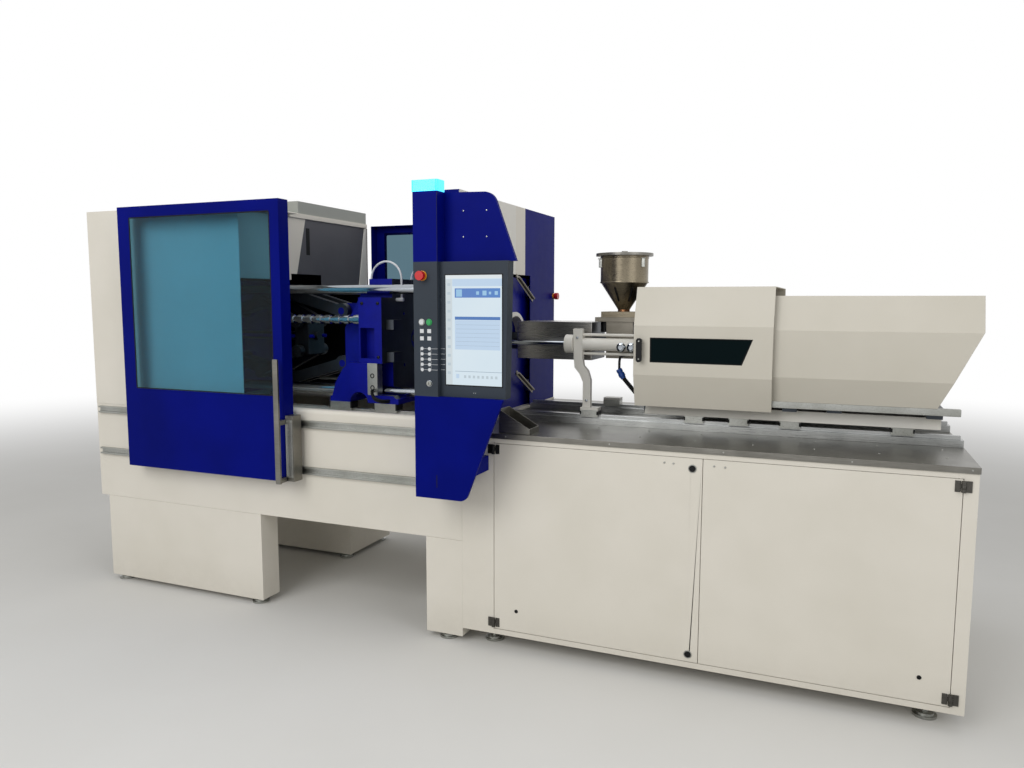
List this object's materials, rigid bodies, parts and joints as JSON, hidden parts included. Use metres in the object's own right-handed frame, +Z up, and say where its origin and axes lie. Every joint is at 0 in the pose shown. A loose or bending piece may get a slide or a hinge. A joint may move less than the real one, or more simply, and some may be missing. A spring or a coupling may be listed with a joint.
{
  "type": "injection moulding machine",
  "caption": "All-electric injection moulding machine with toggle clamp, sliding guard doors, control column, injection unit with hopper and cabinet base",
  "frame": {"origin": "on the floor, at the middle of the overall length and width", "axes": "+X along the machine from the clamp to the injection unit, +Y to the rear, +Z up"},
  "size_m": [4.459, 1.692, 2.2],
  "materials": {
    "white_paint": "satin warm white powder coat",
    "blue_paint": "satin deep blue powder coat",
    "platen_paint": "semi-gloss blue machine enamel",
    "brushed_sheet": "brushed stainless sheet",
    "polished_sheet": "polished stainless sheet",
    "chromed_bar": "hard chromed and ground",
    "machined_steel": "machined steel, lightly oiled",
    "rail_steel": "ground rail steel",
    "grey_panel": "matt dark grey panel",
    "motor_black": "matt black motor housing",
    "tinted_pane": "tinted polycarbonate",
    "dark_pane": "smoked polycarbonate",
    "display_glass": "backlit display behind glass",
    "signal_lens": "translucent light cover",
    "cream_paint": "cream enamel",
    "grey_paint": "grey guard sheet",
    "red_plastic": "moulded red plastic",
    "pale_plastic": "translucent pale plastic",
    "green_plastic": "translucent green plastic",
    "black_plastic": "grained black plastic",
    "zinc_steel": "zinc plated steel"
  },
  "bodies": {
    "frame": {"clamp_bed": "white_paint", "pedestals": "white_paint", "levelling_feet": "zinc_steel", "injection_cabinet": "white_paint", "table_top": "brushed_sheet", "slide_rails": "rail_steel", "guard_rails": "zinc_steel", "fixed_platen": "platen_paint", "tie_bars": "chromed_bar", "end_cover": "white_paint", "roof_cover": "grey_paint", "platen_cover": "blue_paint", "control_column": "blue_paint", "control_housing": "grey_panel", "screen": "display_glass", "signal_light": "signal_lens", "electrical_plate": "grey_paint", "guide_rods": "chromed_bar"},
    "rear_platen": {"rear_platen": "platen_paint", "clamp_motor": "motor_black"},
    "moving_platen": {"moving_platen": "platen_paint", "platen_fittings": "machined_steel", "safety_rod": "chromed_bar"},
    "crosshead": {"crosshead": "machined_steel"},
    "clamp_screw": {"clamp_screw": "machined_steel"},
    "rear_link_upper": {"rear_link_upper": "machined_steel"},
    "rear_link_lower": {"rear_link_lower": "machined_steel"},
    "front_link_upper": {"front_link_upper": "machined_steel"},
    "front_link_lower": {"front_link_lower": "machined_steel"},
    "cross_link_upper": {"cross_link_upper": "machined_steel"},
    "cross_link_lower": {"cross_link_lower": "machined_steel"},
    "ejector": {"ejector": "machined_steel"},
    "front_guard": {"guard_door": "blue_paint", "guard_window": "tinted_pane", "guard_handle": "brushed_sheet"},
    "rear_guard": {"rear_door": "blue_paint", "rear_window": "tinted_pane"},
    "left_door": {"cabinet_door_left": "white_paint"},
    "right_door": {"cabinet_door_right": "white_paint"},
    "lock_upper": {"lock_upper": "black_plastic"},
    "lock_lower": {"lock_lower": "black_plastic"},
    "injection_unit": {"injection_carriage": "machined_steel", "injection_motors": "motor_black", "barrel": "machined_steel", "barrel_cover": "polished_sheet", "barrel_bracket": "cream_paint", "feed_throat": "machined_steel", "rear_cover": "white_paint"},
    "front_cover": {"front_cover": "white_paint", "cover_window": "dark_pane", "cover_handle": "black_plastic"},
    "hopper": {"hopper": "brushed_sheet"},
    "hopper_lid": {"hopper_lid": "brushed_sheet"},
    "pressure_plate": {"pressure_plate": "machined_steel"},
    "plasticising_screw": {"plasticising_screw": "chromed_bar"},
    "stop_button": {"stop_button": "red_plastic"},
    "rear_stop_button": {"rear_stop_button": "red_plastic"},
    "start_button": {"start_button": "pale_plastic"},
    "hold_button": {"hold_button": "green_plastic"},
    "key_switch": {"key_switch": "zinc_steel"}
  },
  "joints": [
    {"name": "front_guard_slide", "type": "slide", "parent": "frame", "child": "front_guard", "axis": [1, 0, 0], "range_m": [0, 0.74]},
    {"name": "rear_guard_slide", "type": "slide", "parent": "frame", "child": "rear_guard", "axis": [1, 0, 0], "range_m": [-0.9, 0]},
    {"name": "mould_height", "type": "slide", "parent": "frame", "child": "rear_platen", "axis": [1, 0, 0], "range_m": [-0.06, 0.06]},
    {"name": "platen_slide", "type": "slide", "parent": "rear_platen", "child": "moving_platen", "axis": [1, 0, 0], "range_m": [-0.3, 0.03]},
    {"name": "crosshead_slide", "type": "slide", "parent": "rear_platen", "child": "crosshead", "axis": [1, 0, 0], "range_m": [-0.225, 0.0225]},
    {"name": "clamp_screw_turn", "type": "hinge", "parent": "rear_platen", "child": "clamp_screw", "pos_m": [-1.7945, 0.056, 1.415], "axis": [1, 0, 0], "continuous": true},
    {"name": "rear_link_upper_turn", "type": "hinge", "parent": "rear_platen", "child": "rear_link_upper", "pos_m": [-1.7295, 0.056, 1.565], "axis": [0, 1, 0], "range_deg": [-40, 4.5]},
    {"name": "rear_link_lower_turn", "type": "hinge", "parent": "rear_platen", "child": "rear_link_lower", "pos_m": [-1.7295, 0.056, 1.265], "axis": [0, 1, 0], "range_deg": [-4.5, 40]},
    {"name": "front_link_upper_turn", "type": "hinge", "parent": "moving_platen", "child": "front_link_upper", "pos_m": [-0.9295, 0.056, 1.565], "axis": [0, 1, 0], "range_deg": [-4.5, 40]},
    {"name": "front_link_lower_turn", "type": "hinge", "parent": "moving_platen", "child": "front_link_lower", "pos_m": [-0.9295, 0.056, 1.265], "axis": [0, 1, 0], "range_deg": [-40, 4.5]},
    {"name": "cross_link_upper_turn", "type": "hinge", "parent": "crosshead", "child": "cross_link_upper", "pos_m": [-1.21894, 0.056, 1.5], "axis": [0, 1, 0], "range_deg": [-4.5, 40]},
    {"name": "cross_link_lower_turn", "type": "hinge", "parent": "crosshead", "child": "cross_link_lower", "pos_m": [-1.21894, 0.056, 1.33], "axis": [0, 1, 0], "range_deg": [-40, 4.5]},
    {"name": "ejector_slide", "type": "slide", "parent": "moving_platen", "child": "ejector", "axis": [1, 0, 0], "range_m": [0, 0.08]},
    {"name": "left_door_hinge", "type": "hinge", "parent": "frame", "child": "left_door", "pos_m": [0.2695, -0.602, 0.531], "axis": [0, 0, 1], "range_deg": [-60, 0]},
    {"name": "right_door_hinge", "type": "hinge", "parent": "frame", "child": "right_door", "pos_m": [2.1485, -0.602, 0.531], "axis": [0, 0, 1], "range_deg": [0, 110]},
    {"name": "lock_upper_turn", "type": "hinge", "parent": "left_door", "child": "lock_upper", "pos_m": [1.167, -0.594, 0.935], "axis": [0, -1, 0], "range_deg": [0, 90]},
    {"name": "lock_lower_turn", "type": "hinge", "parent": "left_door", "child": "lock_lower", "pos_m": [1.167, -0.594, 0.133], "axis": [0, 1, 0], "range_deg": [0, 90]},
    {"name": "carriage_slide", "type": "slide", "parent": "frame", "child": "injection_unit", "axis": [1, 0, 0], "range_m": [-0.045, 0.17]},
    {"name": "front_cover_slide", "type": "slide", "parent": "injection_unit", "child": "front_cover", "axis": [1, 0, 0], "range_m": [0, 0.5]},
    {"name": "hopper_slide", "type": "slide", "parent": "injection_unit", "child": "hopper", "axis": [1, 0, 0], "range_m": [-0.095, 0]},
    {"name": "hopper_lid_hinge", "type": "hinge", "parent": "hopper", "child": "hopper_lid", "pos_m": [0.7005, 0.203, 1.8383], "axis": [-1, 0, 0], "range_deg": [0, 100]},
    {"name": "pressure_plate_slide", "type": "slide", "parent": "injection_unit", "child": "pressure_plate", "axis": [1, 0, 0], "range_m": [0, 0.12]},
    {"name": "plasticising_screw_turn", "type": "hinge", "parent": "pressure_plate", "child": "plasticising_screw", "pos_m": [1.1705, 0.056, 1.415], "axis": [1, 0, 0], "continuous": true},
    {"name": "stop_button_press", "type": "slide", "parent": "frame", "child": "stop_button", "axis": [0, 1, 0], "range_m": [0, 0.005], "stiffness_N_per_m": 600},
    {"name": "rear_stop_button_press", "type": "slide", "parent": "frame", "child": "rear_stop_button", "axis": [-1, 0, 0], "range_m": [0, 0.005], "stiffness_N_per_m": 600},
    {"name": "start_button_press", "type": "slide", "parent": "frame", "child": "start_button", "axis": [0, 1, 0], "range_m": [0, 0.003], "stiffness_N_per_m": 400},
    {"name": "hold_button_press", "type": "slide", "parent": "frame", "child": "hold_button", "axis": [0, 1, 0], "range_m": [0, 0.003], "stiffness_N_per_m": 400},
    {"name": "key_switch_turn", "type": "hinge", "parent": "frame", "child": "key_switch", "pos_m": [0.0595, -0.814, 1.265], "axis": [0, 1, 0], "range_deg": [0, 90]}
  ],
  "couplings": [
    {"joint": "crosshead_slide", "follows": "platen_slide", "ratio": 0.733},
    {"joint": "clamp_screw_turn", "follows": "platen_slide", "rad_per_m": 115.14},
    {"joint": "rear_link_upper_turn", "follows": "platen_slide", "rad_per_m": 2.187},
    {"joint": "rear_link_lower_turn", "follows": "platen_slide", "rad_per_m": -2.187},
    {"joint": "front_link_upper_turn", "follows": "platen_slide", "rad_per_m": -2.187},
    {"joint": "front_link_lower_turn", "follows": "platen_slide", "rad_per_m": 2.187},
    {"joint": "cross_link_upper_turn", "follows": "platen_slide", "rad_per_m": -2.1},
    {"joint": "cross_link_lower_turn", "follows": "platen_slide", "rad_per_m": 2.1}
  ]
}
